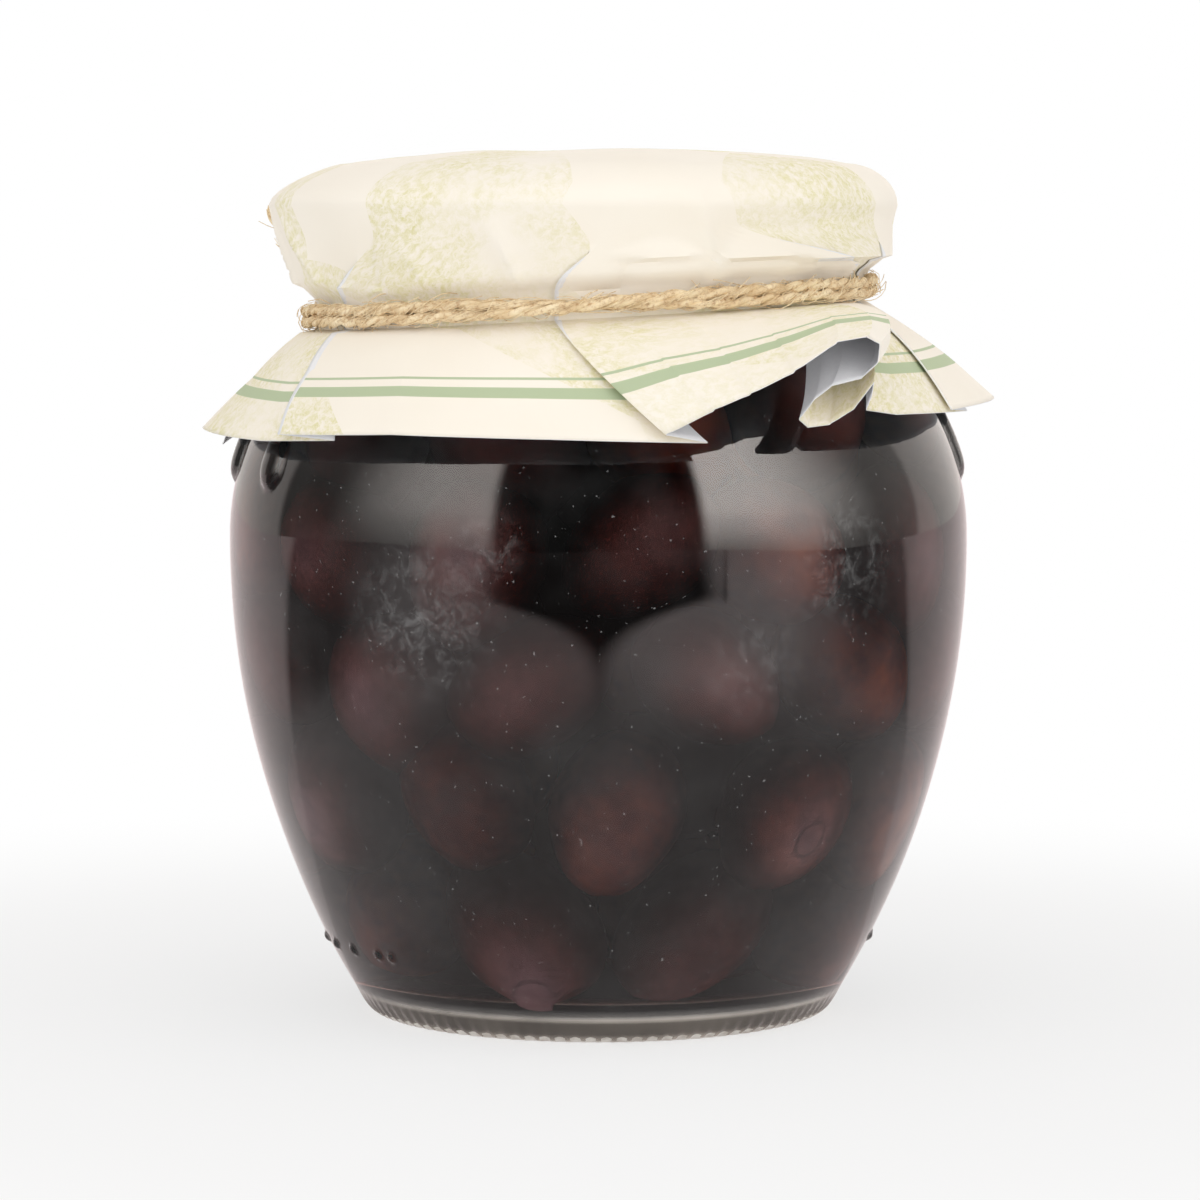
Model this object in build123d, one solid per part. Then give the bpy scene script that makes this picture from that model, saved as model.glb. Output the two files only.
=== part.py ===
"""Jar of olives: a bulging glass jar, its lid, and a paper cover tied on with twine.

Millimetres, +Z up.  The origin is at the centre of the foot, on the plane that the jar
stands on.  The front faces -Y, and azimuths are in degrees from the front, positive
towards +X.
"""
from build123d import *
import os
from math import cos, radians, sin, sqrt, tan

# Glass jar: its section is a long arc up to the belly and a shorter one over the shoulder
BELLY_RADIUS = 50.0
BELLY_HEIGHT = 65.0
LOWER_CURVE = 120.0  # radius of the arc from the heel to the belly
SHOULDER_CURVE = 34.0  # radius of the arc from the belly to the neck
HEEL_HEIGHT = 2.8  # where the long arc gives way to the rounded heel
FOOT_RADIUS = 28.0  # outer edge of the ring that the jar stands on
FOOT_WIDTH = 3.5
PUNT_DEPTH = 1.6  # hollow under the jar, inside the foot ring
WALL = 2.6
BASE_THICKNESS = 5.4
BASE_CORNER = 7.0  # inner rounding between the wall and the base
NECK_RADIUS = 35.4
NECK_LENGTH = 20.9
NECK_FILLET = 3.0
LIP_ROUND = 0.9

# Relief on the glass: two handles moulded on the shoulder, and code dots on the heel
HANDLE_AZIMUTHS = (-75.0, 105.0)
HANDLE_HALF_SPREAD = 13.0  # azimuth from a handle's middle to each of its legs
HANDLE_HALF_WIDTH = 2.6
HANDLE_RELIEF = 1.2
HANDLE_FOOT_RISE = 10.6  # from the belly up to the middle of the drop that ends a leg
HANDLE_TOP_RISE = 22.0
DROP_RADIUS = 3.1
DROP_RELIEF = 1.4
CORNER_RADIUS = 2.9
CORNER_RELIEF = 1.3
DOT_AZIMUTHS = (-83.0, -72.0, -62.0, -52.0, -47.6, 84.0, 88.0)
DOT_HEIGHT = 10.6
DOT_RADIUS = 0.75
DOT_SINK = 0.3

# Contents
HEADSPACE = 9.6  # from the mouth down to the level of the brine

# Lid
LID_RADIUS = 39.2
LID_HEIGHT = 12.0
LID_THICKNESS = 0.8
LID_ROUND = 4.5

# Paper cover
PAPER = 0.4
PAPER_CLEARANCE = 0.15  # between the paper and the lid or the neck
SLACK = 4.4  # how far the loose left side of the paper stands off the lid
SLACK_DROP = 5.0  # from the lid's top down to where the slack stands out most
WAIST_DROP = 5.9  # from the lid's foot down to the twine
WAIST_HALF_HEIGHT = 2.4
WAIST_SHIFT = 1.2  # bunched folds push the waist and the twine to the left
WAIST_TILT = 3.2  # the twine rises to the right
SKIRT_LENGTH = 21.0
SKIRT_GAIN = 1.0  # more length on the right and less on the left
SHOULDER_CLEARANCE = 1.7  # the skirt stays this far off the shoulder, clear of the handles
FOLD_WIDTH = 0.7  # azimuth taken up by the step at a fold's edge
COVER_STEPS = 96  # facets around the cover
CROWN_STEPS = 4  # facets over the lid's rounded edge
SKIRT_STEPS = 5  # facets down the skirt
# Each fold of the skirt: azimuth of its edge at the waist and at the hem, then how far
# the paper flares from the vertical just after that edge and just before the next one.
FOLDS = (
    (-104.0, -108.0, 51.0, 40.0),
    (-60.0, -43.0, 47.0, 45.0),
    (-7.0, 11.0, 49.0, 64.0),
    (40.0, 43.0, 48.0, 52.0),
    (58.0, 64.0, 47.0, 56.0),
    (100.0, 112.0, 50.0, 43.0),
    (142.0, 154.0, 53.0, 44.0),
    (182.0, 192.0, 50.0, 42.0),
    (220.0, 228.0, 49.0, 43.0),
)

# Twine
STRAND_RADIUS = 0.9
TURN_PITCH = 1.6  # between the two turns, less than a strand across, as they bite
TWINE_CLEARANCE = 0.2
KNOT_AZIMUTH = -126.0
KNOT_RADIUS = 2.1
KNOT_STAND_OFF = 1.2  # the knot's middle is this far outside the middle of the turns
TAIL_BEND = 4.0
# Points of each tail after the knot: distance from the waist's axis, azimuth from the
# knot, and height from the knot.
TAIL_UP = ((43.6, 8.0, 6.0), (44.6, 25.0, 15.0))
TAIL_DOWN = ((42.6, -3.0, -3.2), (46.6, -6.0, -6.4))


def polar(radius, azimuth, height):
    """The point at this distance from the axis, azimuth and height."""
    angle = radians(azimuth)
    return Vector(radius * sin(angle), -radius * cos(angle), height)


def between(start, end, share):
    """The value a share of the way from start to end."""
    return start + (end - start) * share


def glass_radius(height, inset=0.0):
    """Radius of the jar's outer surface at a height, or of the surface `inset` within it."""
    curve = LOWER_CURVE if height < BELLY_HEIGHT else SHOULDER_CURVE
    return BELLY_RADIUS - curve + sqrt((curve - inset) ** 2 - (height - BELLY_HEIGHT) ** 2)


def shoulder_height(radius, inset=0.0):
    """Height at which the shoulder comes in to a radius."""
    reach = radius - (BELLY_RADIUS - SHOULDER_CURVE)
    return BELLY_HEIGHT + sqrt((SHOULDER_CURVE - inset) ** 2 - reach**2)


MOUTH_HEIGHT = shoulder_height(NECK_RADIUS) + NECK_LENGTH
LID_TOP = MOUTH_HEIGHT + LID_THICKNESS
LID_FOOT = LID_TOP - LID_HEIGHT
WAIST_HEIGHT = LID_FOOT - WAIST_DROP
WAIST_RADIUS = NECK_RADIUS + PAPER_CLEARANCE + PAPER + WAIST_SHIFT
TWINE_RADIUS = WAIST_RADIUS + TWINE_CLEARANCE + STRAND_RADIUS


def wall_arcs(low, neck, inset):
    """The section's two arcs, from a low height up to the radius of the neck."""
    belly = (BELLY_RADIUS - inset, BELLY_HEIGHT)
    top = shoulder_height(neck, inset)
    ends = ((glass_radius(low, inset), low), belly), (belly, (neck, top))
    for start, end in ends:
        middle = (start[1] + end[1]) / 2
        yield ThreePointArc(start, (glass_radius(middle, inset), middle), end)


def round_corner(section, corner, radius):
    """The section with one of its corners rounded."""
    near = [v for v in section.vertices() if (Vector(v) - Vector(*corner)).length < 1e-4]
    return fillet(near, radius)


def turned(section):
    """The solid of revolution of a closed section, drawn as (radius, height)."""
    return revolve(Plane.XZ * section, Axis.Z)


def jar_outside():
    """The jar as if it were solid glass."""
    neck_foot = (NECK_RADIUS, shoulder_height(NECK_RADIUS))
    lip = (NECK_RADIUS, MOUTH_HEIGHT)
    heel = (glass_radius(HEEL_HEIGHT), HEEL_HEIGHT)
    foot_inside = (FOOT_RADIUS - FOOT_WIDTH, 0)
    drop = BELLY_HEIGHT - HEEL_HEIGHT
    heel_direction = (drop, sqrt(LOWER_CURVE**2 - drop**2))
    section = make_face(
        [
            *wall_arcs(HEEL_HEIGHT, NECK_RADIUS, 0),
            Polyline(neck_foot, lip, (0, MOUTH_HEIGHT), (0, PUNT_DEPTH)),
            Spline((0, PUNT_DEPTH), foot_inside, tangents=[(1, 0), (1, -0.4)]),
            Line(foot_inside, (FOOT_RADIUS, 0)),
            Spline((FOOT_RADIUS, 0), heel, tangents=[(1, 0), heel_direction]),
        ]
    )
    section = round_corner(section, neck_foot, NECK_FILLET)
    return turned(round_corner(section, lip, LIP_ROUND))


def jar_inside(top):
    """Everything within the glass, from the base up to a height in the neck."""
    neck = NECK_RADIUS - WALL
    base_edge = (glass_radius(BASE_THICKNESS, WALL), BASE_THICKNESS)
    neck_foot = (neck, shoulder_height(neck, WALL))
    section = make_face(
        [
            *wall_arcs(BASE_THICKNESS, neck, WALL),
            Polyline(neck_foot, (neck, top), (0, top), (0, BASE_THICKNESS), base_edge),
        ]
    )
    section = round_corner(section, base_edge, BASE_CORNER)
    return turned(round_corner(section, neck_foot, NECK_FILLET + WALL))


def on_shoulder(azimuth, rise, offset=0.0):
    """A place on the glass above the belly: x points out of it, y up it and z around."""
    lean = shoulder_lean(rise)
    outward = polar(cos(lean), azimuth, sin(lean))
    upward = polar(-sin(lean), azimuth, cos(lean))
    height = BELLY_HEIGHT + rise
    return Plane(
        origin=polar(glass_radius(height), azimuth, height) + outward * offset,
        x_dir=outward,
        z_dir=outward.cross(upward),
    )


def shoulder_lean(rise):
    """Angle of the glass's normal above the horizontal, at a rise above the belly."""
    return Vector(sqrt(SHOULDER_CURVE**2 - rise**2), rise).get_angle(Vector(1, 0)) * radians(1)


def handle_leg(azimuth):
    """One leg of a handle: an oval carried up the shoulder's arc."""
    start = on_shoulder(azimuth, HANDLE_FOOT_RISE)
    centre = on_shoulder(azimuth, 0, -SHOULDER_CURVE)
    section = Plane(start.origin, x_dir=start.x_dir, z_dir=start.y_dir)
    section *= Ellipse(HANDLE_RELIEF, HANDLE_HALF_WIDTH)
    sweep = shoulder_lean(HANDLE_TOP_RISE) - shoulder_lean(HANDLE_FOOT_RISE)
    return revolve(section, Axis(centre.origin, centre.z_dir), sweep / radians(1))


def handle_bow(middle):
    """The top of a handle: the same oval carried level around the jar, from leg to leg."""
    start = on_shoulder(middle - HANDLE_HALF_SPREAD, HANDLE_TOP_RISE)
    section = Plane(start.origin, x_dir=start.x_dir, z_dir=start.z_dir)
    section *= Ellipse(HANDLE_RELIEF, HANDLE_HALF_WIDTH)
    return revolve(section, Axis.Z, 2 * HANDLE_HALF_SPREAD)


def boss(azimuth, rise, radius, relief):
    """A round boss on the shoulder: the drop under a leg or a corner of the handle."""
    place = on_shoulder(azimuth, rise)
    return place * scale(Sphere(radius), (relief / radius, 1, 1))


def glass_jar():
    """The hollow jar with its moulded handles and dots."""
    jar = jar_outside()
    for middle in HANDLE_AZIMUTHS:
        jar += handle_bow(middle)
        for azimuth in (middle - HANDLE_HALF_SPREAD, middle + HANDLE_HALF_SPREAD):
            jar += handle_leg(azimuth)
            jar += boss(azimuth, HANDLE_FOOT_RISE, DROP_RADIUS, DROP_RELIEF)
            jar += boss(azimuth, HANDLE_TOP_RISE, CORNER_RADIUS, CORNER_RELIEF)
    for azimuth in DOT_AZIMUTHS:
        place = polar(glass_radius(DOT_HEIGHT) - DOT_SINK, azimuth, DOT_HEIGHT)
        jar += Pos(*place) * Sphere(DOT_RADIUS)
    return jar - jar_inside(MOUTH_HEIGHT + 1)


def olives_in_brine():
    """The heap of olives and its brine, out to the glass."""
    return jar_inside(MOUTH_HEIGHT - HEADSPACE)


def lid():
    """A plain cap that rests on the jar's rim."""

    def dome(radius, rounding, top):
        body = Cylinder(radius, top - LID_FOOT, align=(Align.CENTER, Align.CENTER, Align.MIN))
        return Pos(0, 0, LID_FOOT) * fillet(body.edges().group_by(Axis.Z)[-1], rounding)

    outside = dome(LID_RADIUS, LID_ROUND, LID_TOP)
    return outside - dome(LID_RADIUS - LID_THICKNESS, LID_ROUND - LID_THICKNESS, MOUTH_HEIGHT)


def cover_columns():
    """Azimuth at the waist, azimuth at the hem and flare of each column of the cover."""
    first = FOLDS[0]
    following = (*FOLDS[1:], (first[0] + 360, first[1] + 360))
    for (waist, hem, flare, last_flare), after in zip(FOLDS, following):
        last_waist = after[0] - FOLD_WIDTH
        last_hem = after[1] - FOLD_WIDTH
        steps = max(2, round(COVER_STEPS * (last_waist - waist) / 360))
        for step in range(steps + 1):
            share = step / steps
            yield (
                between(waist, last_waist, share),
                between(hem, last_hem, share),
                between(flare, last_flare, share),
            )


def waist_height(azimuth):
    """Height of the twine's middle at an azimuth, as it is tied on a slant."""
    return WAIST_HEIGHT + TWINE_RADIUS * sin(radians(azimuth)) * tan(radians(WAIST_TILT))


def crown_line(azimuth, offset):
    """Points down the cover from the lid's top to its foot, `offset` off the lid."""
    slack = SLACK * ((1 - sin(radians(azimuth))) / 2) ** 1.5
    centre_radius = LID_RADIUS - LID_ROUND
    centre_height = LID_TOP - LID_ROUND
    rounding = LID_ROUND + offset
    yield polar(centre_radius / 2, azimuth, LID_TOP + offset)
    for step in range(CROWN_STEPS + 1):
        angle = radians(90 * step / CROWN_STEPS)
        radius = centre_radius + rounding * sin(angle) + slack * sin(angle) ** 3
        yield polar(radius, azimuth, centre_height + rounding * cos(angle))
    side = LID_RADIUS + offset
    yield polar(side + slack, azimuth, LID_TOP - SLACK_DROP)
    yield polar(side + slack * 0.6, azimuth, LID_FOOT - offset)


def skirt_line(column, offset):
    """Points from the top of the waist down to the hem, `offset` in from the outside."""
    waist, hem, flare = column
    middle = Vector(-WAIST_SHIFT, 0, 0)
    for rise in (WAIST_HALF_HEIGHT, -WAIST_HALF_HEIGHT):
        yield polar(WAIST_RADIUS - offset, waist, waist_height(waist) + rise) + middle
    length = SKIRT_LENGTH + SKIRT_GAIN * sin(radians(waist))
    lean = radians(flare)
    for step in range(1, SKIRT_STEPS + 1):
        share = step / SKIRT_STEPS
        height = waist_height(waist) - WAIST_HALF_HEIGHT - length * share * cos(lean)
        on_glass = glass_radius(height) + SHOULDER_CLEARANCE + PAPER + WAIST_SHIFT
        radius = max(WAIST_RADIUS + length * share * sin(lean), on_glass)
        azimuth = between(waist, hem, share)
        inset = offset * Vector(cos(lean), sin(lean))
        yield polar(radius - inset.X, azimuth, height - inset.Y) + middle


def paper_cover():
    """The pleated paper, as a thin faceted solid: crown, waist and flared skirt."""
    outside = []
    inside = []
    for column in cover_columns():
        outer = crown_line(column[0], PAPER_CLEARANCE + PAPER)
        inner = crown_line(column[0], PAPER_CLEARANCE)
        outside.append([*outer, *skirt_line(column, 0)])
        inside.append([*inner, *skirt_line(column, PAPER)])
    facets = []
    for lines, offset in ((outside, PAPER_CLEARANCE + PAPER), (inside, PAPER_CLEARANCE)):
        centre = Vector(0, 0, LID_TOP + offset)
        for line, after in zip(lines, lines[1:] + lines[:1]):
            facets.append((centre, line[0], after[0]))
            for row in range(len(line) - 1):
                facets.append((line[row], line[row + 1], after[row + 1]))
                facets.append((line[row], after[row + 1], after[row]))
    hems = [(outer[-1], inner[-1]) for outer, inner in zip(outside, inside)]
    for (outer, inner), (next_outer, next_inner) in zip(hems, hems[1:] + hems[:1]):
        facets.append((outer, inner, next_inner))
        facets.append((outer, next_inner, next_outer))
    faces = [Face(Wire.make_polygon(corners)) for corners in facets]
    return Solid(Shell(faces))


def tail(knot, points):
    """A free end of the twine, from the knot through its points."""
    middle = Vector(-WAIST_SHIFT, 0, 0)
    route = [knot]
    for radius, turn, rise in points:
        route.append(polar(radius, KNOT_AZIMUTH + turn, knot.Z + rise) + middle)
    path = FilletPolyline(*route, radius=TAIL_BEND)
    return sweep(Plane(route[0], z_dir=route[1] - route[0]) * Circle(STRAND_RADIUS), path)


def twine():
    """Two turns around the waist, a knot at the back left and its two tails."""
    place = Pos(-WAIST_SHIFT, 0, WAIST_HEIGHT) * Rot(0, -WAIST_TILT, 0)
    turns = [
        place * Pos(0, 0, side * TURN_PITCH / 2) * Torus(TWINE_RADIUS, STRAND_RADIUS)
        for side in (-1, 1)
    ]
    knot = polar(TWINE_RADIUS + KNOT_STAND_OFF, KNOT_AZIMUTH, waist_height(KNOT_AZIMUTH))
    knot += Vector(-WAIST_SHIFT, 0, 0)
    tied = turns[0] + turns[1] + Pos(*knot) * Sphere(KNOT_RADIUS)
    return tied + tail(knot, TAIL_UP) + tail(knot, TAIL_DOWN)


PIECES = (glass_jar, olives_in_brine, lid, paper_cover, twine)

os.makedirs("parts", exist_ok=True)
for piece in PIECES:
    export_step(piece(), os.path.join("parts", piece.__name__ + ".step"))
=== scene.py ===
"""Looks of the jar of olives: glass, brine, olives, printed paper cover and jute twine.

Lengths are in metres in the frame's own axes, and MM turns millimetres into them.
Azimuths are in degrees from the front (-Y), positive towards +X.
"""
import math
import random

import bmesh
import bpy
import numpy as np
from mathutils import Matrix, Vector, noise


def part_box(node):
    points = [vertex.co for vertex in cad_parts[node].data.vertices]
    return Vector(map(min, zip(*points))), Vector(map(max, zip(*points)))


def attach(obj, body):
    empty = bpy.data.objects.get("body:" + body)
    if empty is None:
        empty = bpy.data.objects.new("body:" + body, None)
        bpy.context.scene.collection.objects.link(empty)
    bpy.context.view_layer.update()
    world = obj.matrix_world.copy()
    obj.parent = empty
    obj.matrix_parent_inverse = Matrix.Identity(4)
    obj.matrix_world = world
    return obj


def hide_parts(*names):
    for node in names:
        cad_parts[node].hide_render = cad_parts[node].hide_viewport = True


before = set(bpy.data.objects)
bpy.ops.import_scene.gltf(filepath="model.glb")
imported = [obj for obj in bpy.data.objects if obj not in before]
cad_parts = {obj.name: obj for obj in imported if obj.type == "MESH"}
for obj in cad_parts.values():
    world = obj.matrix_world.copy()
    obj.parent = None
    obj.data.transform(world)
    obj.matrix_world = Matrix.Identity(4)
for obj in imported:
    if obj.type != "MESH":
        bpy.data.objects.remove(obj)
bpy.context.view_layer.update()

MM = 0.001

# Driving sizes, from the frame
_, GLASS_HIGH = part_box("glass_jar")
FILL_LOW, FILL_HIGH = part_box("olives_in_brine")
LID_LOW, LID_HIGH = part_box("lid")
BELLY_RADIUS = GLASS_HIGH.x
MOUTH_HEIGHT = GLASS_HIGH.z
WALL = BELLY_RADIUS - FILL_HIGH.x
BASE_THICKNESS = FILL_LOW.z
FILL_HEIGHT = FILL_HIGH.z
LID_RADIUS = LID_HIGH.x
LID_TOP = LID_HIGH.z
LID_FOOT = LID_LOW.z

# The jar's section, as in the CAD model
BELLY_HEIGHT = 65.0 * MM
LOWER_CURVE = 120.0 * MM
SHOULDER_CURVE = 34.0 * MM
HEEL_HEIGHT = 2.8 * MM
FOOT_RADIUS = 28.0 * MM
FOOT_WIDTH = 3.5 * MM
PUNT_DEPTH = 1.6 * MM
NECK_RADIUS = 35.4 * MM
BASE_CORNER = 7.0 * MM
AXIS_GAP = 0.2 * MM  # a section starts this far from the axis


def srgb(red, green, blue):
    """A colour given as it looks on a screen, 0 to 255, as linear RGBA."""
    def linear(value):
        value /= 255
        return value / 12.92 if value <= 0.04045 else ((value + 0.055) / 1.055) ** 2.4

    return (linear(red), linear(green), linear(blue), 1.0)


def polar(radius, azimuth, height):
    """Points at this distance from the axis, azimuth in degrees and height."""
    angle = np.radians(azimuth)
    return np.stack(np.broadcast_arrays(radius * np.sin(angle), -radius * np.cos(angle), height), -1)


def smoothstep(low, high, value):
    """Ease from 0 at low to 1 at high."""
    share = np.clip((value - low) / (high - low), 0, 1)
    return share * share * (3 - 2 * share)


def wrapped(degrees):
    """An angle brought between -180 and 180 degrees."""
    return (degrees + 180) % 360 - 180


def all_round(columns):
    """Azimuths of the columns of a closed grid, as one row."""
    return np.linspace(-180, 180, columns, endpoint=False)[None, :]


# ---------------------------------------------------------------- mesh and node helpers


def new_piece(name, points, faces, materials, smooth_angle=None):
    """A smooth-shaded mesh object that rides on the root body."""
    mesh = bpy.data.meshes.new(name)
    mesh.from_pydata([tuple(p) for p in points], [], [tuple(f) for f in faces])
    mesh.update()
    for polygon in mesh.polygons:
        polygon.use_smooth = True
    if smooth_angle is not None:
        mesh.set_sharp_from_angle(angle=math.radians(smooth_angle))
    piece = bpy.data.objects.new(name, mesh)
    bpy.context.scene.collection.objects.link(piece)
    for material in materials:
        mesh.materials.append(material)
    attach(piece, "root")
    return piece


def grid_faces(rows, columns):
    """Quads of a grid of rows by columns of points, closed around its columns."""
    faces = []
    for row in range(rows - 1):
        for column in range(columns):
            after = (column + 1) % columns
            a, b = row * columns + column, row * columns + after
            faces.append((a, b, b + columns, a + columns))
    return faces


def closed_faces(rows, columns):
    """The same grid with a face over its first row and one over its last."""
    first = tuple(range(columns))[::-1]
    last = tuple(range((rows - 1) * columns, rows * columns))
    return grid_faces(rows, columns) + [first, last]


class Nodes:
    """A short way to write a material's or the world's node tree."""

    def __init__(self, owner):
        owner.use_nodes = True
        self.tree = owner.node_tree
        self.tree.nodes.clear()

    def add(self, kind, settings=None, **inputs):
        """A new node with its settings and inputs; an input i3 is the one numbered 3."""
        node = self.tree.nodes.new(kind)
        for name, value in (settings or {}).items():
            setattr(node, name, value)
        for name, value in inputs.items():
            self.put(node, name.replace("_", " "), value)
        return node

    def put(self, node, name, value):
        """Sets or links one input, named or by number."""
        numbered = name[0] == "i" and name[1:].isdigit()
        socket = node.inputs[int(name[1:]) if numbered else name]
        if isinstance(value, bpy.types.NodeSocket):
            self.tree.links.new(value, socket)
        elif isinstance(value, bpy.types.Node):
            self.tree.links.new(value.outputs[0], socket)
        else:
            socket.default_value = value

    def math(self, operation, first, second=0.0):
        return self.add("ShaderNodeMath", {"operation": operation}, i0=first, i1=second).outputs[0]

    def place(self):
        """The object's own coordinates, in metres."""
        return self.add("ShaderNodeTexCoord").outputs["Object"]

    def ramp(self, value, low, high, start=0.0, end=1.0):
        """Smooth step of a value from low to high, giving start to end."""
        node = self.add(
            "ShaderNodeMapRange",
            {"interpolation_type": "SMOOTHSTEP"},
            i0=value, i1=low, i2=high, i3=start, i4=end,
        )
        return node.outputs[0]

    def mix(self, factor, first, second):
        """Mix of two colours."""
        node = self.add("ShaderNodeMix", {"data_type": "RGBA"})
        self.put(node, "i0", factor)
        self.put(node, "i6", first)
        self.put(node, "i7", second)
        return node.outputs[2]

    def noise(self, scale, detail=2.0, roughness=0.5, vector=None, distortion=0.0):
        node = self.add("ShaderNodeTexNoise", Scale=scale, Detail=detail, Roughness=roughness)
        node.inputs["Distortion"].default_value = distortion
        if vector is not None:
            self.put(node, "Vector", vector)
        return node.outputs[0]


def principled_material(name, **inputs):
    """A material with one Principled shader; gives the material, its nodes and the shader."""
    material = bpy.data.materials.new(name)
    nodes = Nodes(material)
    shader = nodes.add("ShaderNodeBsdfPrincipled")
    for key, value in inputs.items():
        nodes.put(shader, key.replace("_", " "), value)
    nodes.add("ShaderNodeOutputMaterial", Surface=shader)
    return material, nodes, shader


def band(nodes, value, low, high, edge=0.06 * MM):
    """1 between low and high, with a soft edge."""
    above = nodes.ramp(value, low - edge, low + edge)
    below = nodes.ramp(value, high - edge, high + edge, 1.0, 0.0)
    return nodes.math("MULTIPLY", above, below)


# ---------------------------------------------------------------- camera, light and floor

CAMERA_DISTANCE = 0.660
CAMERA_HEIGHT = 0.106
CAMERA_TARGET = Vector((0.0002, 0, 0.0560))
CAMERA_LENS = 145.9  # mm, on the 36 mm wide sensor


def add_camera():
    data = bpy.data.cameras.new("camera")
    data.lens = CAMERA_LENS
    data.sensor_width = 36.0
    data.clip_start = 0.01
    camera = bpy.data.objects.new("camera", data)
    camera.location = (0, -CAMERA_DISTANCE, CAMERA_HEIGHT)
    camera.rotation_euler = (CAMERA_TARGET - camera.location).to_track_quat("-Z", "Y").to_euler()
    bpy.context.scene.collection.objects.link(camera)
    bpy.context.scene.camera = camera


LEFT_SOFTBOX = 4.2
RIGHT_SOFTBOX = 8.0
FRONT_STRENGTH = 0.30  # what the glass reflects of the room between the softboxes
FILL_STRENGTH = 0.32  # light on matt surfaces from all round
ABOVE_STRENGTH = 0.42  # more of it from above
FACING_STRENGTH = 0.72  # and more from the front
GLOSS_TINT = (1.0, 0.93, 0.885, 1)
MATT_TINT = (1.0, 0.99, 0.98, 1)
PAINTED_REFLECTION_TINT = (1.0, 0.87, 0.86, 1)
WHITE = (1, 1, 1, 1)


def add_world():
    """A studio of two tall softboxes, a dark gap in front and a white backdrop behind."""
    world = bpy.data.worlds.new("studio")
    bpy.context.scene.world = world
    nodes = Nodes(world)
    direction = nodes.add("ShaderNodeTexCoord").outputs["Generated"]
    parts = nodes.add("ShaderNodeSeparateXYZ", i0=direction)
    x, y, z = parts.outputs
    forward = nodes.math("MULTIPLY", y, -1.0)
    azimuth = nodes.math("ARCTAN2", x, forward)
    aside = nodes.math("ABSOLUTE", azimuth)
    # Softboxes either side of the camera, fading down and outwards
    inner = nodes.ramp(aside, math.radians(31), math.radians(36))
    left = nodes.ramp(azimuth, math.radians(-95), math.radians(-50), 0.0, LEFT_SOFTBOX)
    right = nodes.ramp(azimuth, math.radians(48), math.radians(100), RIGHT_SOFTBOX, 0.6)
    right = nodes.math("MULTIPLY", right, nodes.math("GREATER_THAN", azimuth, 0.0))
    left = nodes.math("MULTIPLY", left, nodes.math("LESS_THAN", azimuth, 0.0))
    rise = nodes.ramp(z, -0.18, 0.34)
    shape = nodes.math("MULTIPLY", inner, rise)
    softbox = nodes.math("MULTIPLY", nodes.math("ADD", left, right), shape)
    front = nodes.ramp(aside, math.radians(26), math.radians(36), 0.02, FRONT_STRENGTH)
    behind = nodes.ramp(aside, math.radians(115), math.radians(119), 0.0, 1.0 - FRONT_STRENGTH)
    mirrored = nodes.math("ADD", softbox, nodes.math("ADD", front, behind))
    # Matt surfaces take a softer version of the same studio
    over = nodes.ramp(z, -0.2, 0.9, 0.35, 1.0)
    facing = nodes.ramp(forward, -0.3, 0.9, 0.0, FACING_STRENGTH)
    around = nodes.math("ADD", FILL_STRENGTH, facing)
    matt = nodes.math("ADD", around, nodes.math("MULTIPLY", over, ABOVE_STRENGTH))
    path = nodes.add("ShaderNodeLightPath")
    seen = nodes.math("MAXIMUM", path.outputs["Is Camera Ray"], path.outputs["Is Transmission Ray"])
    shown = nodes.add("ShaderNodeBackground", Color=WHITE, Strength=1.0)
    gloss = nodes.add("ShaderNodeBackground", Color=GLOSS_TINT, Strength=mirrored)
    lit = nodes.add("ShaderNodeBackground", Color=MATT_TINT, Strength=matt)
    indirect = nodes.add("ShaderNodeMixShader", i0=path.outputs["Is Glossy Ray"], i1=lit, i2=gloss)
    mixed = nodes.add("ShaderNodeMixShader", i0=seen, i1=indirect, i2=shown)
    nodes.add("ShaderNodeOutputWorld", Surface=mixed)


FLOOR_RADIUS = 6.0
FLOOR_SIDES = 96
FLOOR_MATT = (0.90, 0.90, 0.90, 1)
TABLE_NEAR = 0.11  # how far out from the jar the floor is partly matt and takes its shadow
TABLE_FAR = 0.24  # and from where it is plain white
NEAR_WHITE = 0.62  # how much of the near floor is plain white all the same
PAINTED_SOFTBOX_GLOW = 1.6  # strength of the painted softbox reflection that the floor glows with for glossy rays, below the table's horizon


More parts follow.
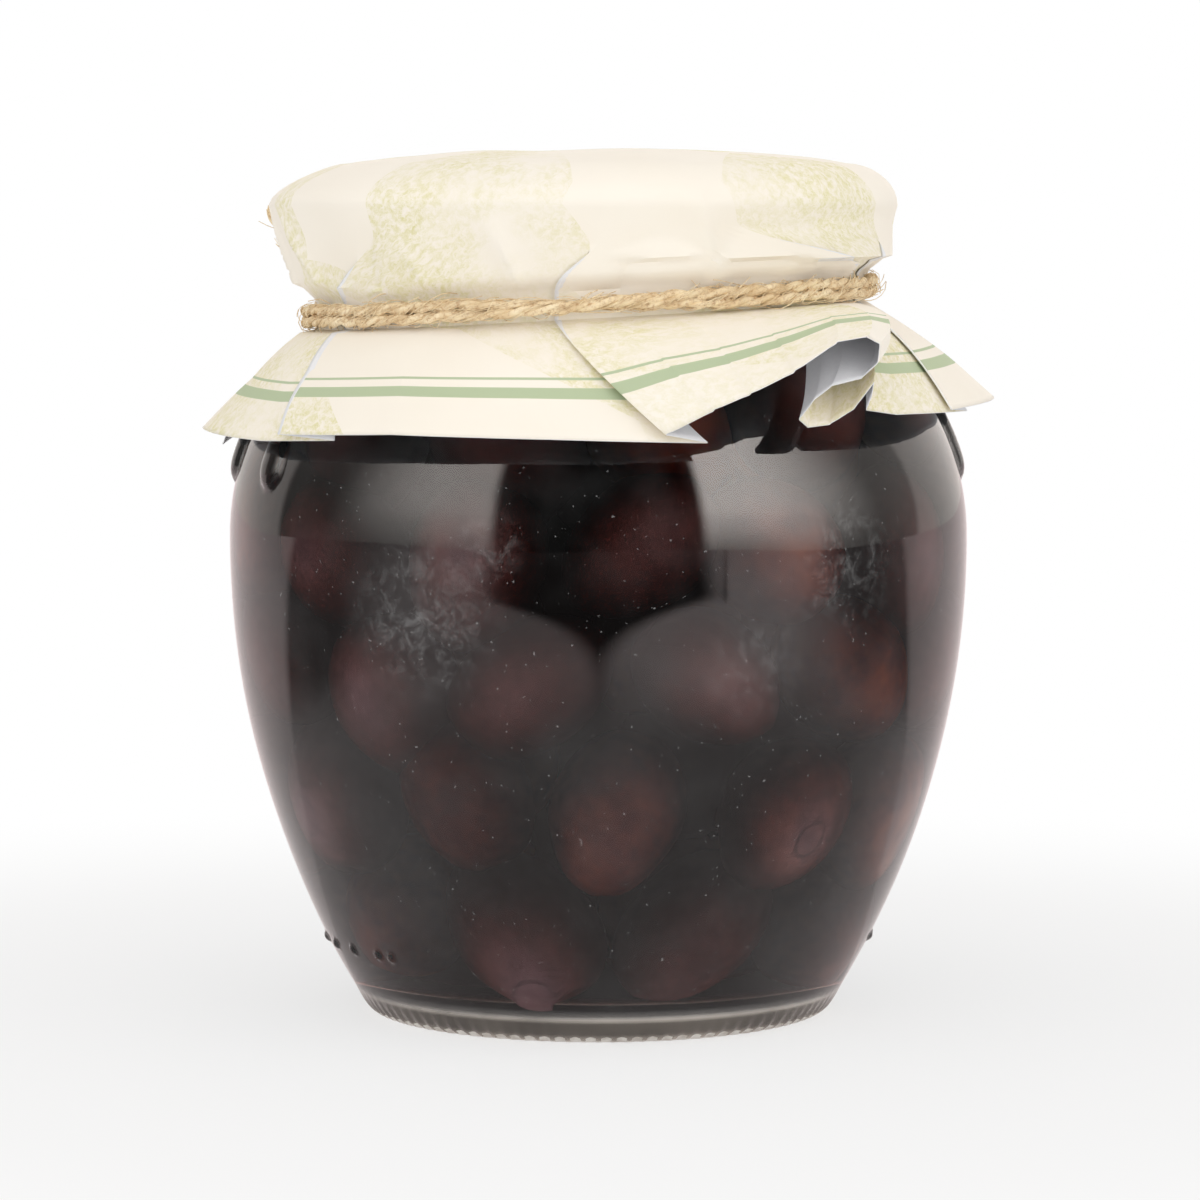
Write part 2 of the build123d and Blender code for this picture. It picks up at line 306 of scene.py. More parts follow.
def add_floor():
    """A pale floor that keeps the jar's shadow and turns plain white further out; for glossy rays it
    glows with a painted reflection of the table's edge and of the softboxes.
    """
    material = bpy.data.materials.new("floor")
    nodes = Nodes(material)
    place = nodes.place()
    x, y, _ = nodes.add("ShaderNodeSeparateXYZ", i0=place).outputs
    away = nodes.add("ShaderNodeVectorMath", {"operation": "LENGTH"}, i0=place)
    distance = away.outputs["Value"]
    aside = nodes.math("ABSOLUTE", nodes.math("ARCTAN2", x, nodes.math("MULTIPLY", y, -1.0)))
    # Painted reflection: for glossy rays the floor glows white from the jar's sides round to its
    # back, and dims with distance in front of it, so that in the glass the table seems to end there
    side = nodes.ramp(aside, math.radians(103), math.radians(110))
    fall = nodes.ramp(distance, 0.13, 0.23, 0.72, 0.12)
    # Painted reflection of the softboxes: for glossy rays the floor also glows in their shape, a
    # little below the table's height
    edge = nodes.ramp(distance, 0.17, 0.45, 0.0, math.radians(33))
    inner = nodes.ramp(nodes.math("SUBTRACT", aside, edge), -0.07, 0.09)
    outer = nodes.ramp(aside, math.radians(50), math.radians(84), 1.0, 0.12)
    box = nodes.math("MULTIPLY", inner, outer)
    box = nodes.math("MULTIPLY", box, nodes.ramp(x, -0.05, 0.05, 0.6, 1.0))
    painted_glow = nodes.math("MULTIPLY", box, nodes.ramp(distance, 0.11, 0.22, 0.0, PAINTED_SOFTBOX_GLOW))
    mirrored = nodes.math("MAXIMUM", side, nodes.math("ADD", fall, painted_glow))
    path = nodes.add("ShaderNodeLightPath")
    glossy = path.outputs["Is Glossy Ray"]
    # Glossy rays see the floor glow with this painted reflection, tinted a little pink
    shown = nodes.add("ShaderNodeMix", {"data_type": "FLOAT"}, i0=glossy, i2=1.0, i3=mirrored)
    matte = nodes.add("ShaderNodeBsdfDiffuse", Color=FLOOR_MATT)
    tint = nodes.mix(glossy, WHITE, PAINTED_REFLECTION_TINT)
    white = nodes.add("ShaderNodeEmission", Color=tint, Strength=shown.outputs[0])
    far = nodes.ramp(distance, TABLE_NEAR, TABLE_FAR, NEAR_WHITE, 1.0)
    far = nodes.math("MAXIMUM", far, path.outputs["Is Transmission Ray"])
    mixed = nodes.add("ShaderNodeMixShader", i0=far, i1=matte, i2=white)
    nodes.add("ShaderNodeOutputMaterial", Surface=mixed)
    turns = [2 * math.pi * k / FLOOR_SIDES for k in range(FLOOR_SIDES)]
    rim = [(FLOOR_RADIUS * math.cos(turn), FLOOR_RADIUS * math.sin(turn), 0) for turn in turns]
    mesh = bpy.data.meshes.new("floor")
    mesh.from_pydata(rim, [], [tuple(range(FLOOR_SIDES))])
    mesh.materials.append(material)
    floor = bpy.data.objects.new("floor", mesh)
    bpy.context.scene.collection.objects.link(floor)


# ---------------------------------------------------------------- glass

GLASS_COLUMNS = 576
GLASS_IOR = 1.5
NECK_FILLET = 3.0 * MM
LIP = 0.9 * MM


def wall_radius(height, inset=0.0):
    """Radius of the jar's outer surface at a height, or of the surface `inset` within it."""
    curve = np.where(height < BELLY_HEIGHT, LOWER_CURVE, SHOULDER_CURVE)
    return BELLY_RADIUS - curve + np.sqrt((curve - inset) ** 2 - (height - BELLY_HEIGHT) ** 2)


def shoulder_height(radius, inset=0.0):
    """Height at which the shoulder comes in to a radius."""
    reach = radius - (BELLY_RADIUS - SHOULDER_CURVE)
    return BELLY_HEIGHT + math.sqrt((SHOULDER_CURVE - inset) ** 2 - reach**2)


def bezier(start, towards, end, count):
    """Points on a quadratic curve, without its last point."""
    share = np.linspace(0, 1, count, endpoint=False)[:, None]
    start, towards, end = (np.array(p) for p in (start, towards, end))
    return (1 - share) ** 2 * start + 2 * share * (1 - share) * towards + share**2 * end


def outer_section():
    """The jar's outside as (radius, height) points, from the middle of the base to the lip."""
    ring = FOOT_RADIUS - FOOT_WIDTH
    heel = (float(wall_radius(HEEL_HEIGHT)), HEEL_HEIGHT)
    drop = BELLY_HEIGHT - HEEL_HEIGHT
    slope = drop / math.sqrt(LOWER_CURVE**2 - drop**2)
    corner = (heel[0] - HEEL_HEIGHT * slope, 0)
    parts = [
        bezier((AXIS_GAP, PUNT_DEPTH), (ring * 0.75, PUNT_DEPTH), (ring, 0), 8),
        bezier((ring, 0), (ring + FOOT_WIDTH / 2, 0), (FOOT_RADIUS, 0), 4),
        bezier((FOOT_RADIUS, 0), corner, heel, 8),
    ]
    # Rows lie closest at the code dots and at the handles
    low = HEEL_HEIGHT
    for high, count in ((9.2 * MM, 8), (12.0 * MM, 9), (70.0 * MM, 30), (90.0 * MM, 38)):
        heights = np.linspace(low, high, count, endpoint=False)
        parts.append(np.stack([wall_radius(heights), heights], -1))
        low = high
    shoulder = (float(wall_radius(low)), low)
    neck_foot = shoulder_height(NECK_RADIUS)
    neck = (NECK_RADIUS, neck_foot + NECK_FILLET)
    lip = (NECK_RADIUS, MOUTH_HEIGHT - LIP)
    parts.append(bezier(shoulder, (NECK_RADIUS, neck_foot), neck, 8))
    parts.append(bezier(neck, (NECK_RADIUS, MOUTH_HEIGHT - 4 * MM), lip, 5))
    parts.append(bezier(lip, (NECK_RADIUS, MOUTH_HEIGHT), (NECK_RADIUS - LIP, MOUTH_HEIGHT), 5))
    return np.concatenate(parts)


def inner_section(reach=0.0, top=MOUTH_HEIGHT):
    """The jar's inside from the middle of the base up to a height, `reach` into the glass."""
    inset = WALL - reach
    base = BASE_THICKNESS - reach
    corner = (float(wall_radius(base, inset)), base)
    flat_edge = corner[0] - BASE_CORNER
    above = base + BASE_CORNER * 0.8
    wall_foot = (float(wall_radius(above, inset)), above)
    neck = NECK_RADIUS - inset
    neck_foot = shoulder_height(neck, inset)
    below_neck = neck_foot - 5 * MM
    above_foot = neck_foot + 5 * MM
    shoulder = (float(wall_radius(below_neck, inset)), below_neck)
    heights = np.linspace(above, below_neck, 23, endpoint=False)
    return np.concatenate(
        [
            np.stack([np.linspace(AXIS_GAP, flat_edge, 4, endpoint=False), np.full(4, base)], -1),
            bezier((flat_edge, base), corner, wall_foot, 10),
            np.stack([wall_radius(heights, inset), heights], -1),
            bezier(shoulder, (neck, neck_foot), (neck, above_foot), 8),
            np.stack([np.full(5, neck), np.linspace(above_foot, top, 5)], -1),
        ]
    )


HANDLES = (-75.0, 105.0)  # azimuths
HANDLE_HALF_SPREAD = 13.0  # degrees
HANDLE_AT = 47.0 * MM  # distance from the axis at which its width is measured
HANDLE_BEND = 5.0 * MM
HANDLE_DROP = 3.1 * MM  # the round drop that ends each leg
HANDLE_RELIEF = 1.25 * MM
HANDLE_FOOT = 75.4 * MM
HANDLE_TOP = 87.0 * MM
DOTS = (-83.0, -72.0, -62.0, -52.0, -47.6, 84.0, 88.0)  # azimuths
DOT_HEIGHT = 10.6 * MM
DOT_RADIUS = 0.85 * MM
SEAMS = (19.5, 199.5)  # azimuths
BEADS = 96  # of the stippled ring
BEAD_RADIUS = 31.0 * MM


def handle_relief(azimuth, height):
    """How far the two moulded handles stand out of the glass."""
    relief = np.zeros(np.broadcast(azimuth, height).shape)
    for middle in HANDLES:
        across = np.radians(wrapped(azimuth - middle)) * HANDLE_AT
        half = math.radians(HANDLE_HALF_SPREAD) * HANDLE_AT
        # Distance from the inverted U, and the drop that ends each leg
        over = np.maximum(height - (HANDLE_TOP - HANDLE_BEND), 0)
        side = np.abs(across) - (half - HANDLE_BEND)
        curve = np.hypot(np.maximum(side, 0), over) - HANDLE_BEND
        inside_top = np.where(side < 0, over - HANDLE_BEND, curve)
        reach = np.where(over > 0, np.abs(inside_top), np.abs(np.abs(across) - half))
        width = 2.1 * MM + 1.0 * MM * smoothstep(HANDLE_FOOT + 6 * MM, HANDLE_FOOT, height)
        bar = np.clip(1 - (reach / width) ** 2, 0, 1) ** 0.6
        bar = bar * (height > HANDLE_FOOT)
        from_foot = np.hypot(np.abs(across) - half, height - HANDLE_FOOT)
        drop = np.clip(1 - (from_foot / HANDLE_DROP) ** 2, 0, 1) ** 0.6
        relief = np.maximum(relief, HANDLE_RELIEF * np.maximum(bar, drop))
    return relief


def small_relief(azimuth, radius, height):
    """Code dots, mould seams and the stippled ring around the foot."""
    relief = np.zeros(np.broadcast(azimuth, height).shape)
    for middle in DOTS:
        across = np.radians(wrapped(azimuth - middle)) * radius
        reach = np.hypot(across, height - DOT_HEIGHT)
        relief += 0.5 * MM * np.clip(1 - (reach / DOT_RADIUS) ** 2, 0, 1)
    for middle in SEAMS:
        across = np.radians(wrapped(azimuth - middle)) * radius
        ridge = np.exp(-((across / (0.6 * MM)) ** 2))
        relief += 0.05 * MM * ridge * smoothstep(4 * MM, 9 * MM, height)
    ring = np.exp(-(((radius - BEAD_RADIUS) / (1.3 * MM)) ** 2)) * (height < 4 * MM)
    beads = 0.5 + 0.5 * np.cos(np.radians(azimuth) * BEADS)
    relief += 0.28 * MM * ring * beads
    return relief


def add_glass(material, wetted, stippled):
    """The jar: its wall with the reliefs, and a little waviness of the blown glass."""
    outer = outer_section()
    inner = inner_section()[::-1]
    azimuth = all_round(GLASS_COLUMNS)
    angle = np.radians(azimuth)
    radius, height = outer[:, :1], outer[:, 1:]
    relief = handle_relief(azimuth, height) * (height > 60 * MM)
    relief = relief + small_relief(azimuth, radius, height)
    wave = 0.05 * MM * np.sin(angle * 3 + height / (9 * MM))
    wave = wave + 0.04 * MM * np.sin(angle * 7 - height / (6 * MM))
    wave = wave * smoothstep(3 * MM, 14 * MM, height)
    wave = wave * smoothstep(MOUTH_HEIGHT, 80 * MM, height)
    step = np.gradient(outer, axis=0)
    step /= np.linalg.norm(step, axis=1, keepdims=True)
    out_radius = radius + (relief + wave) * step[:, 1:]
    out_height = height - (relief + wave) * step[:, :1]
    outside = polar(out_radius, azimuth, out_height)
    inside = polar(inner[:, :1], azimuth, inner[:, 1:])
    rows = np.concatenate([outside, inside])
    faces = closed_faces(len(rows), GLASS_COLUMNS)
    materials = [material, wetted, stippled]
    glass = new_piece("glass", rows.reshape(-1, 3), faces, materials)
    wet_from = len(outer) * GLASS_COLUMNS
    for polygon in glass.data.polygons:
        centre = polygon.center
        if polygon.vertices[0] >= wet_from and centre.z < FILL_HEIGHT:
            polygon.material_index = 1
        elif centre.z < PUNT_DEPTH + 0.4 * MM and math.hypot(*centre.xy) < FOOT_RADIUS + 3 * MM:
            polygon.material_index = 2
    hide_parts("glass_jar")


# Rubbed places on the glass: middle in mm, reach in mm and how much they cover
SCUFFS = (
    ((-22.0, -44.0, 57.0), 13.0, 0.11),
    ((-14.0, -47.5, 66.0), 6.0, 0.09),
    ((31.0, -39.0, 64.0), 12.0, 0.10),
    ((20.0, -45.0, 51.0), 9.0, 0.07),
)


def glass_materials():
    """Clear glass, the same where brine wets it and so hides its surface, and the pitted base."""
    dry, nodes, shader = principled_material(
        "clear_glass", Base_Color=WHITE, Roughness=0.012, IOR=GLASS_IOR, Transmission_Weight=1.0
    )
    # Scuffs, specks of dust and a thin film scatter light; streaked bands of diffuse white round the
    # foot are a painted highlight, standing in for light from below the jar
    place = nodes.place()
    worn = 0.0
    for spot, reach, strength in SCUFFS:
        middle = [v * MM for v in spot]
        away = nodes.add("ShaderNodeVectorMath", {"operation": "DISTANCE"}, i0=place, i1=middle)
        patch = nodes.ramp(away.outputs["Value"], reach * MM * 0.2, reach * MM, strength, 0.0)
        worn = nodes.math("MAXIMUM", patch, worn)
    scratch = nodes.ramp(nodes.noise(420.0, 7.0, 0.75, place, 0.8), 0.42, 0.74)
    dust = nodes.ramp(nodes.noise(2000.0, 1.0, 0.5, place), 0.73, 0.78, 0.0, 0.14)
    film = nodes.ramp(nodes.noise(45.0, 3.0, 0.6, place), 0.40, 0.7, 0.0, 0.015)
    height = nodes.add("ShaderNodeSeparateXYZ", i0=place).outputs[2]
    streaks = nodes.ramp(nodes.noise(90.0, 2.0, 0.5, place), 0.3, 0.7, 0.6, 1.0)
    # Painted highlight: two bands round the foot, where less transmission shows a lit diffuse white
    upper = band(nodes, height, 3.2 * MM, 4.0 * MM, 0.5 * MM)
    lower = nodes.ramp(height, 0.5 * MM, 1.6 * MM, 0.9, 0.25)
    edge = nodes.math("MAXIMUM", upper, lower)
    edge = nodes.math("MULTIPLY", edge, nodes.ramp(height, 4.0 * MM, 5.2 * MM, 0.45, 0.0))
    foot = nodes.math("MULTIPLY", edge, streaks)
    warm = nodes.ramp(height, 2.5 * MM, 5.5 * MM, 1.0, 0.0)
    nodes.put(shader, "Base Color", nodes.mix(warm, WHITE, srgb(246, 232, 216)))
    dust_film_and_painted_highlight = nodes.math("MAXIMUM", nodes.math("MAXIMUM", dust, film), foot)
    cover = nodes.math("ADD", nodes.math("MULTIPLY", worn, scratch), dust_film_and_painted_highlight)
    nodes.put(shader, "Transmission Weight", nodes.math("SUBTRACT", 1.0, cover))
    wet = bpy.data.materials.new("wetted_glass")
    nodes = Nodes(wet)
    bends = nodes.add("ShaderNodeBsdfRefraction", Color=WHITE, Roughness=0.0, IOR=GLASS_IOR)
    nodes.add("ShaderNodeOutputMaterial", Surface=bends)
    stippled, nodes, shader = principled_material(
        "stippled_glass", Roughness=0.35, IOR=GLASS_IOR, Transmission_Weight=0.4
    )
    pitted = nodes.ramp(nodes.noise(420.0, 3.0, 0.6, nodes.place()), 0.35, 0.65)
    nodes.put(shader, "Base Color", nodes.mix(pitted, srgb(255, 250, 242), srgb(216, 206, 196)))
    return dry, wet, stippled


# ---------------------------------------------------------------- brine and olives

BRINE_REACH = 0.1 * MM  # into the glass
BRINE_COLUMNS = 192
BRINE_IOR = 1.33
BRINE_COLOUR = (0.55, 0.25, 0.14, 1)
BRINE_DENSITY = 480.0  # per metre


def add_brine():
    """The brine, out into the wall and up to its level in the neck."""
    material = bpy.data.materials.new("brine")
    nodes = Nodes(material)
    bends = nodes.add("ShaderNodeBsdfRefraction", Color=WHITE, Roughness=0.0, IOR=BRINE_IOR)
    volume = nodes.add("ShaderNodeVolumeAbsorption", Color=BRINE_COLOUR, Density=BRINE_DENSITY)
    nodes.add("ShaderNodeOutputMaterial", Surface=bends, Volume=volume)
    section = inner_section(BRINE_REACH, FILL_HEIGHT)
    rows = polar(section[:, :1], all_round(BRINE_COLUMNS), section[:, 1:])
    faces = closed_faces(len(rows), BRINE_COLUMNS)
    brine = new_piece("brine", rows.reshape(-1, 3), faces, [material])
    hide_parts("olives_in_brine")


OLIVE_LENGTH = 22.5 * MM
OLIVE_WIDTH = 17.0 * MM
OLIVE_GAP = 0.25 * MM  # between an olive's skin and the glass
OLIVE_RINGS = (16.5, 32.5, 49.0, 65.0, 80.5, 94.0)  # heights in mm
OLIVE_SEED = 11


def olive_shape():
    """Points and faces of a ball of radius 1, from which every olive is made."""
    mesh = bpy.data.meshes.new("olive_form")
    form = bmesh.new()
    bmesh.ops.create_icosphere(form, subdivisions=4, radius=1.0)
    form.to_mesh(mesh)
    form.free()
    points = np.array([v.co for v in mesh.vertices])
    faces = [tuple(p.vertices) for p in mesh.polygons]
    bpy.data.meshes.remove(mesh)
    return points, faces


def olive_points(unit, length, width, seed):
    """Points of one olive along Z: an egg, uneven in its own way, with a stem dimple and a tip."""
    z = unit[:, 2]
    girth = np.sqrt(np.clip(1 - z**2, 0, 1))
    body = unit.copy()
    swell = 1 + 0.07 * z - 0.05 * z**2
    body[:, 0] *= swell
    body[:, 1] *= swell
    body *= (width / 2, width / 2, length / 2)
    stem = np.exp(-((girth / 0.20) ** 2)) * (z > 0)
    tip = np.exp(-((girth / 0.12) ** 2)) * (z < 0)
    body[:, 2] -= stem * 0.07 * length
    body[:, 2] -= tip * 0.012 * length
    offset = Vector((seed * 7.3, seed * 3.1, seed * 1.7))
    dents = np.array([noise.noise(Vector(p) * 1.3 + offset) for p in unit])
    return body * (1 + 0.045 * dents)[:, None]


def olive_places(draw):
    """Where the olives lie: rings against the glass, each ring turned and jostled."""
    places = []
    for ring, level in enumerate(OLIVE_RINGS):
        level *= MM
        reach = float(wall_radius(min(level, 86 * MM), WALL)) - OLIVE_WIDTH / 2 - OLIVE_GAP
        if ring == 0:
            reach -= 2.0 * MM
        if ring == len(OLIVE_RINGS) - 1:
            reach = NECK_RADIUS - WALL - OLIVE_WIDTH / 2 - 1 * MM
        pitch = OLIVE_WIDTH * (1.06 if ring % 2 else 1.12)
        count = int(2 * math.pi * reach / pitch)
        start = draw.uniform(0, 360)
        for k in range(count):
            azimuth = start + 360 * k / count + draw.uniform(-3, 3)
            height = level + draw.uniform(-2.2, 2.2) * MM
            radius = reach - draw.uniform(0, 1.0) * MM
            lean, tuck = draw.uniform(-55, 55), draw.uniform(-10, 14)
            places.append((radius, azimuth, height, lean, tuck))
        inner_count = max(3, int(2 * math.pi * (reach - OLIVE_WIDTH) / (OLIVE_WIDTH * 1.1)))
        for k in range(inner_count):
            azimuth = start + 360 * k / inner_count + draw.uniform(-8, 8)
            height = level + draw.uniform(4, 9) * MM
            if height < FILL_HEIGHT - 8 * MM:
                lean, tuck = draw.uniform(-80, 80), draw.uniform(-30, 30)
                places.append((reach - OLIVE_WIDTH * 0.95, azimuth, height, lean, tuck))
    return places


def add_olives():
    """All the olives as one mesh, each with a tone of its own."""
    draw = random.Random(OLIVE_SEED)
    unit, unit_faces = olive_shape()
    points = []
    faces = []
    tones = []
    for index, (radius, azimuth, height, lean, tuck) in enumerate(olive_places(draw)):
        length = OLIVE_LENGTH * draw.uniform(0.9, 1.06)
        width = OLIVE_WIDTH * draw.uniform(0.92, 1.04)
        body = olive_points(unit, length, width, index + 1)
        flip = math.pi if draw.random() < 0.5 else 0.0
        turn = turn_matrix(azimuth, lean, tuck, flip)
        start = len(points)
        middle = polar(radius, azimuth, height)
        points.extend(body @ turn.T + middle)
        faces.extend(tuple(start + v for v in face) for face in unit_faces)
        tones.extend([draw.random()] * len(unit))
    olives = new_piece("olives", points, faces, [olive_material()])
    tone = olives.data.attributes.new("tone", "FLOAT", "POINT")
    tone.data.foreach_set("value", tones)
    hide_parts("olives_in_brine")


def turn_matrix(azimuth, lean, tuck, flip):
    """Rotation of an olive: its length leans within the wall's plane and tucks in from it."""
    a, b, c = math.radians(azimuth), math.radians(lean), math.radians(tuck) + flip
    around_z = np.array([[math.cos(a), -math.sin(a), 0], [math.sin(a), math.cos(a), 0], [0, 0, 1]])
    around_y = np.array([[math.cos(b), 0, math.sin(b)], [0, 1, 0], [-math.sin(b), 0, math.cos(b)]])
    around_x = np.array([[1, 0, 0], [0, math.cos(c), -math.sin(c)], [0, math.sin(c), math.cos(c)]])
    return around_z @ around_y @ around_x


def olive_material():
    """Purple to brown skin by the olive's tone, mottled darker; the brine takes its gloss."""
    material, nodes, shader = principled_material(
        "olive_skin", Roughness=0.6, Specular_IOR_Level=0.0
    )
    tone = nodes.add("ShaderNodeAttribute", {"attribute_name": "tone"}).outputs["Fac"]
    base = nodes.mix(nodes.ramp(tone, 0.3, 0.95), srgb(118, 88, 93), srgb(158, 100, 72))
    mottle = nodes.ramp(nodes.noise(130.0, 3.0, 0.55, nodes.place()), 0.3, 0.75)
    nodes.put(shader, "Base Color", nodes.mix(mottle, base, srgb(88, 62, 67)))
    return material


CORE_RADIUS = 16.0 * MM
CORE_COLUMNS = 48
CORE_ROWS = 36


def add_core():
    """A dark body in the middle of the heap, uneven, which the olives hide: painted shade, standing
    for the shaded olives within.
    """
    # Painted shade: its dark colour stands for olives deep in the heap, which lie in shade
    material, _, _ = principled_material("shaded_heap_core", Base_Color=srgb(40, 24, 24), Roughness=0.6)
    azimuth = all_round(CORE_COLUMNS)
    share = np.linspace(0.02, 0.98, CORE_ROWS)[:, None]
    height = BASE_THICKNESS + 6 * MM + share * (FILL_HEIGHT - BASE_THICKNESS - 14 * MM)
    bumps = np.sin(np.radians(azimuth) * 5 + height * 420) * np.sin(height * 380)
    radius = CORE_RADIUS * np.sin(share * math.pi) ** 0.35 * (1 + 0.16 * bumps)
    grid = polar(radius, azimuth, height)
    faces = closed_faces(CORE_ROWS, CORE_COLUMNS)
    core = new_piece("shaded_heap_core", grid.reshape(-1, 3), faces, [material])
    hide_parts("olives_in_brine")


# ---------------------------------------------------------------- lid


def finish_lid():
    """The CAD lid stays, lacquered, under the paper."""
    material, nodes, shader = principled_material("lid_lacquer", Roughness=0.3)
    speck = nodes.noise(900.0, 3.0, 0.5, nodes.place())
    nodes.put(shader, "Base Color", nodes.mix(speck, srgb(226, 220, 205), srgb(214, 206, 188)))
    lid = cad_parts["lid"]
    lid.data.materials.clear()
    lid.data.materials.append(material)


# ---------------------------------------------------------------- paper cover

SHEET_RADIUS = 85.0 * MM
PAPER = 0.08 * MM
LAYER_GAP = 0.30 * MM
CROWN_ROUND = 5.6 * MM
CROWN_RISE = 1.7 * MM  # of the paper over the lid, in the middle
CROWN_SIDE = 14.0 * MM  # length of paper from the lid's edge down to the twine
SLACK = 3.8 * MM  # how much further the crown stands out at the left
LEAST_SLACK = 0.9 * MM  # and at the right
WAIST_HEIGHT = 96.7 * MM
WAIST_TILT = math.radians(3.2)
WAIST_SHIFT = 1.2 * MM
WAIST_HALF = 1.8 * MM
WAIST_RADIUS = 37.0 * MM
SKIRT_LENGTH = 21.3 * MM
SKIRT_CLEARANCE = 1.2 * MM

# The skirt, round from the left: each fold line's azimuth at the waist and at the hem,
# its flare from straight down, and how many layers it lies under.  Panels run from one
# line to the next, and turn back under a neighbour where the azimuth falls.
FOLD_LINES = (
    (-108, -110, 51, 0.0), (-80, -78, 49, 0.5), (-64, -56, 47, 1.2), (-52, -39, 49, 2.0),
    (-61, -50, 50, 0.0), (-35, -28, 50.5, 0.3), (-18, -5, 48, 0.8), (0, 17, 45, 2.0),
    (-7, 10.5, 48.5, 0.0), (6, 16.5, 58, 0.0), (20, 21, 63, 0.0), (32, 26.5, 70, 0.0),
    (48, 32, 79, 0.0), (60, 36.5, 80, 0.0), (68, 38.8, 77, 0.1), (70, 39.2, 71, 0.6),
    (66, 37.5, 66, 1.2), (55, 33, 64, 1.7), (49, 31, 59, 2.0), (46, 30, 52, 2.4),
    (49, 32, 48, 2.5), (53, 35.5, 49, 2.5), (57, 38.5, 56, 2.5), (60, 40, 66, 2.3),
    (59, 40.5, 60, 1.9), (58, 40.5, 54, 1.4), (66, 47, 51, 1.0), (82, 68, 50.5, 1.5),
    (73, 60, 51, 0.0), (82, 73, 53, 0.3), (92, 88, 54, 0.6), (112, 118, 44, 2.0),
    (100, 106, 50, 0.0), (128, 135, 50, 0.8), (152, 163, 40, 2.0),
    (141, 150, 51, 0.0), (165, 175, 51, 0.8), (192, 203, 39, 2.0),
    (180, 189, 49, 0.0), (206, 214, 49, 0.8), (230, 240, 38, 2.0),
    (219, 227, 48, 0.0), (240, 246, 49, 0.8), (264, 264, 40, 2.0),
)
COLUMN_STEP = 1.1  # degrees of hem between two columns of the sheet
FOLD_TURN = 0.10  # and next to a fold line
SKIRT_STEPS = 24

# Small pleats of the crown: azimuth at the twine, lean in degrees over the crown's height,
# size, and how far up they reach as a share of that height
PLEATS = (
    (-15, -9, 0.55, 0.75), (4, 12, -0.35, 0.5), (24, -8, 0.7, 1.1), (52, -6, -0.5, 0.8),
    (66, -10, 0.5, 0.6), (-66, -12, 0.6, 0.8), (-48, 8, -0.4, 0.6), (-84, -6, 0.7, 0.9),
    (-34, -14, 0.3, 0.5), (38, 10, 0.3, 0.6), (90, -9, 0.5, 0.8), (118, 7, -0.5, 0.7),
    (142, -8, 0.5, 0.9), (165, 9, 0.4, 0.6), (188, -7, -0.5, 0.8), (210, 6, 0.5, 0.7),
    (236, -9, 0.5, 0.9), (254, 5, -0.4, 0.6),
)
PLEAT_RELIEF = 1.75 * MM


def sheet_columns():
    """Azimuth at the waist and hem, flare and depth of each column of the sheet."""
    columns = []
    first = FOLD_LINES[0]
    closing = (first[0] + 360, first[1] + 360) + first[2:]
    for line, after in zip(FOLD_LINES, FOLD_LINES[1:] + (closing,)):
        width = abs(after[1] - line[1]) + 0.01
        steps = max(3, round(width / COLUMN_STEP))
        # A fold is a tight turn, so a column lies close to each fold line on both sides
        close = min(0.2, FOLD_TURN / width)
        shares = [0, close] + [step / steps for step in range(1, steps)] + [1 - close]
        for share in shares:
            columns.append([a + (b - a) * share for a, b in zip(line, after)])
    return np.array(columns, dtype=float)


def smoothed(values, passes=2):
    """Values eased between neighbours around a closed line."""
    for _ in range(passes):
        values = (np.roll(values, 1) + 2 * values + np.roll(values, -1)) / 4
    return values


def creases(azimuth, height):
    """Small folds in the crown, pulled down to the twine: how far they stand out."""
    low = WAIST_HEIGHT + 2 * MM
    rise = (height - low) / (LID_TOP - low)
    relief = np.zeros(np.broadcast(azimuth, height).shape)
    for middle, lean, size, reach in PLEATS:
        turn = wrapped(azimuth - middle - lean * rise)
        width = 1.6 + 2.2 * np.clip(rise, 0, 1)
        ridge = np.exp(-np.abs(turn / width) ** 1.3)
        relief += size * PLEAT_RELIEF * ridge * smoothstep(reach, reach * 0.35, rise)
    return relief


def rumple(points, size, grain, seed):
    """Soft unevenness of the sheet, by a smooth noise field."""
    shift = Vector((seed, 2.3 * seed, 5.1 * seed))
    return size * np.array([noise.noise(Vector(p) * grain + shift) for p in points])


